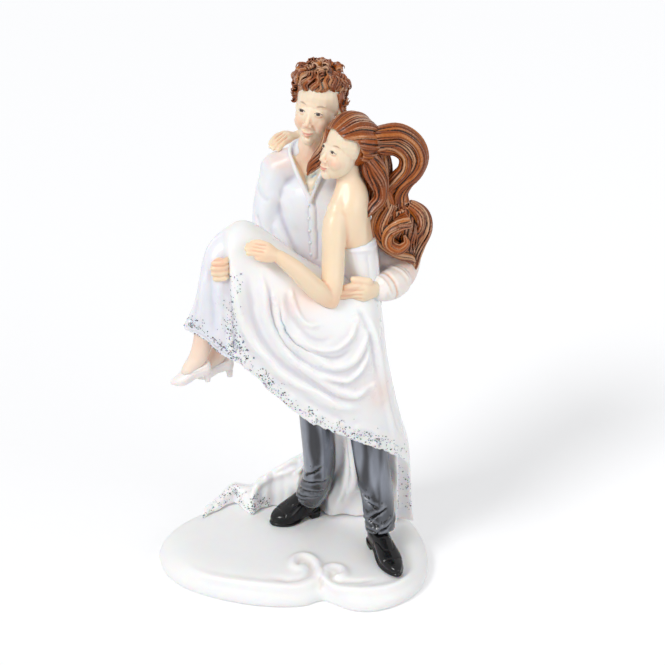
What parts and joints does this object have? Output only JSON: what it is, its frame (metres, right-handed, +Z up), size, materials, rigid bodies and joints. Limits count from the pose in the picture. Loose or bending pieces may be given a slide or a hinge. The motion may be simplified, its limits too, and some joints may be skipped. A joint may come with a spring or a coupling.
{
  "type": "wedding cake topper",
  "caption": "Free-standing cast resin wedding cake topper: a groom in shirt and trousers carries his bride in a swagged, glitter-hemmed gown on a heart-shaped scrolled base.",
  "frame": {"origin": "middle of the base's underside, on the plane that the topper stands on", "axes": "+Z up, +X to the viewer's right and -Y towards the viewer, the side the groom faces"},
  "size_m": [0.0791, 0.0662, 0.1497],
  "materials": {
    "ivory_resin": "cast polyresin painted ivory white, satin gloss",
    "pearl_resin": "cast polyresin painted pearly white, with glitter along the hems",
    "shirt_resin": "cast polyresin painted white with soft peach and grey shading, satin",
    "skin_resin": "cast polyresin painted a light skin colour, soft satin",
    "hair_resin": "cast polyresin painted copper brown with dark hollows, satin",
    "trouser_resin": "cast polyresin painted charcoal grey, satin gloss",
    "shoe_resin": "cast polyresin painted gloss black"
  },
  "bodies": {
    "root": {"base": "ivory_resin", "groom_head": "skin_resin", "bride_head": "skin_resin", "groom_neck_and_chest": "skin_resin", "bride_hand_left": "skin_resin", "groom_hand_left": "skin_resin", "groom_hand_right": "skin_resin", "bride_hand_right": "skin_resin", "bride_arm_left": "skin_resin", "bride_torso": "skin_resin", "bride_arm_right": "skin_resin", "groom_shoe_right": "shoe_resin", "groom_shoe_left": "shoe_resin", "groom_trouser_right": "trouser_resin", "groom_trouser_left": "trouser_resin", "groom_shirt": "shirt_resin", "groom_cuff_left": "shirt_resin", "groom_sleeve_right": "shirt_resin", "groom_sleeve_left": "shirt_resin", "bride_pump_left": "pearl_resin", "bride_pump_right": "pearl_resin", "bride_leg_left": "skin_resin", "bride_leg_right": "skin_resin", "bride_bodice": "pearl_resin", "gown_skirt": "pearl_resin", "gown_train": "pearl_resin", "groom_hair": "hair_resin", "bride_hair_crown": "hair_resin", "bride_hair_side_lock": "hair_resin", "bride_hair_loop": "hair_resin", "bride_hair_inner_curl": "hair_resin", "bride_hair_nape": "hair_resin", "bride_hair_tail": "hair_resin"}
  },
  "joints": []
}
